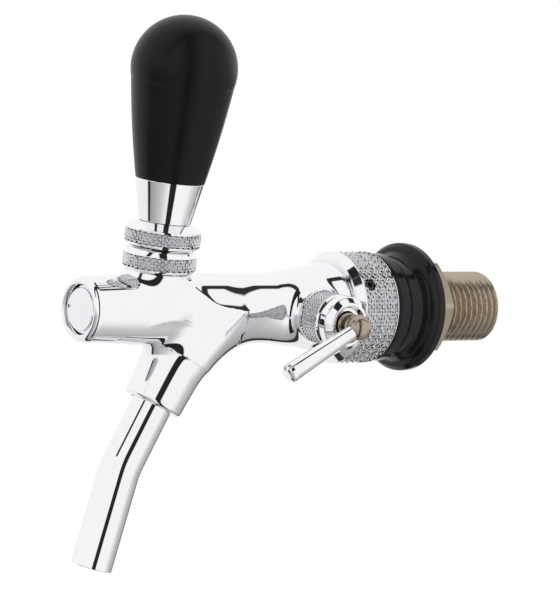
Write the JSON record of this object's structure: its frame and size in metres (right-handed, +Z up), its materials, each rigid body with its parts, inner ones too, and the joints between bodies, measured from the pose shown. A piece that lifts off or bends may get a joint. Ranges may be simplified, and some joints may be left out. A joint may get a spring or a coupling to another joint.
{
  "type": "beer tap",
  "caption": "Flow-control beer tap: tilting handle, angled spout, side lever, knurled coupling, black flange and threaded shank with its nut.",
  "frame": {"origin": "centre of the flange's rear seating face, on the shank's axis", "axes": "+Y runs back along the shank into the tower or wall, the tap faces -Y, +Z is up and the flow-control lever is on +X"},
  "size_m": [0.0578, 0.1625, 0.1725],
  "materials": {
    "chrome": "mirror chrome plate",
    "nickel": "satin warm nickel plate",
    "steel": "turned stainless",
    "black_grip": "satin moulded black",
    "black_gloss": "gloss black",
    "seal_rubber": "matt",
    "nylon": "moulded nylon"
  },
  "bodies": {
    "tap": {"faucet_body": "chrome", "front_plug": "chrome", "spout_tube": "chrome", "spout_ring": "seal_rubber", "ball_seat_lower": "nylon", "ball_seat_upper": "nylon", "bonnet_collar": "chrome", "flow_ring": "chrome", "flow_cap": "chrome", "coupling_collar": "chrome", "set_screw": "steel", "coupling_gasket": "seal_rubber", "threaded_shank": "nickel", "flange": "black_gloss", "shank_nut": "nickel"},
    "handle": {"ball_lever": "steel", "lock_collar": "chrome", "handle_ferrule": "chrome", "handle_grip": "black_grip"},
    "plunger": {"plunger": "steel", "plunger_ring": "seal_rubber", "valve_washer": "seal_rubber", "valve_nut": "steel"},
    "flow_lever": {"flow_stem": "nickel", "flow_stem_ring": "seal_rubber", "flow_lever": "chrome"},
    "compensator": {"compensator": "nylon"}
  },
  "joints": [
    {"name": "handle_tilt", "type": "hinge", "parent": "tap", "child": "handle", "pos_m": [0, -0.102, 0.0115], "axis": [1, 0, 0], "range_deg": [0, 22]},
    {"name": "plunger_slide", "type": "slide", "parent": "tap", "child": "plunger", "axis": [0, 1, 0], "range_m": [0, 0.00366]},
    {"name": "flow_turn", "type": "hinge", "parent": "tap", "child": "flow_lever", "pos_m": [0.033, -0.0475, 0], "axis": [1, 0, 0], "range_deg": [-60, 60]},
    {"name": "compensator_slide", "type": "slide", "parent": "tap", "child": "compensator", "axis": [0, 1, 0], "range_m": [-0.00175, 0.00175]}
  ],
  "couplings": [
    {"joint": "plunger_slide", "follows": "handle_tilt", "m_per_rad": 0.0095},
    {"joint": "compensator_slide", "follows": "flow_turn", "m_per_rad": -0.001654}
  ]
}
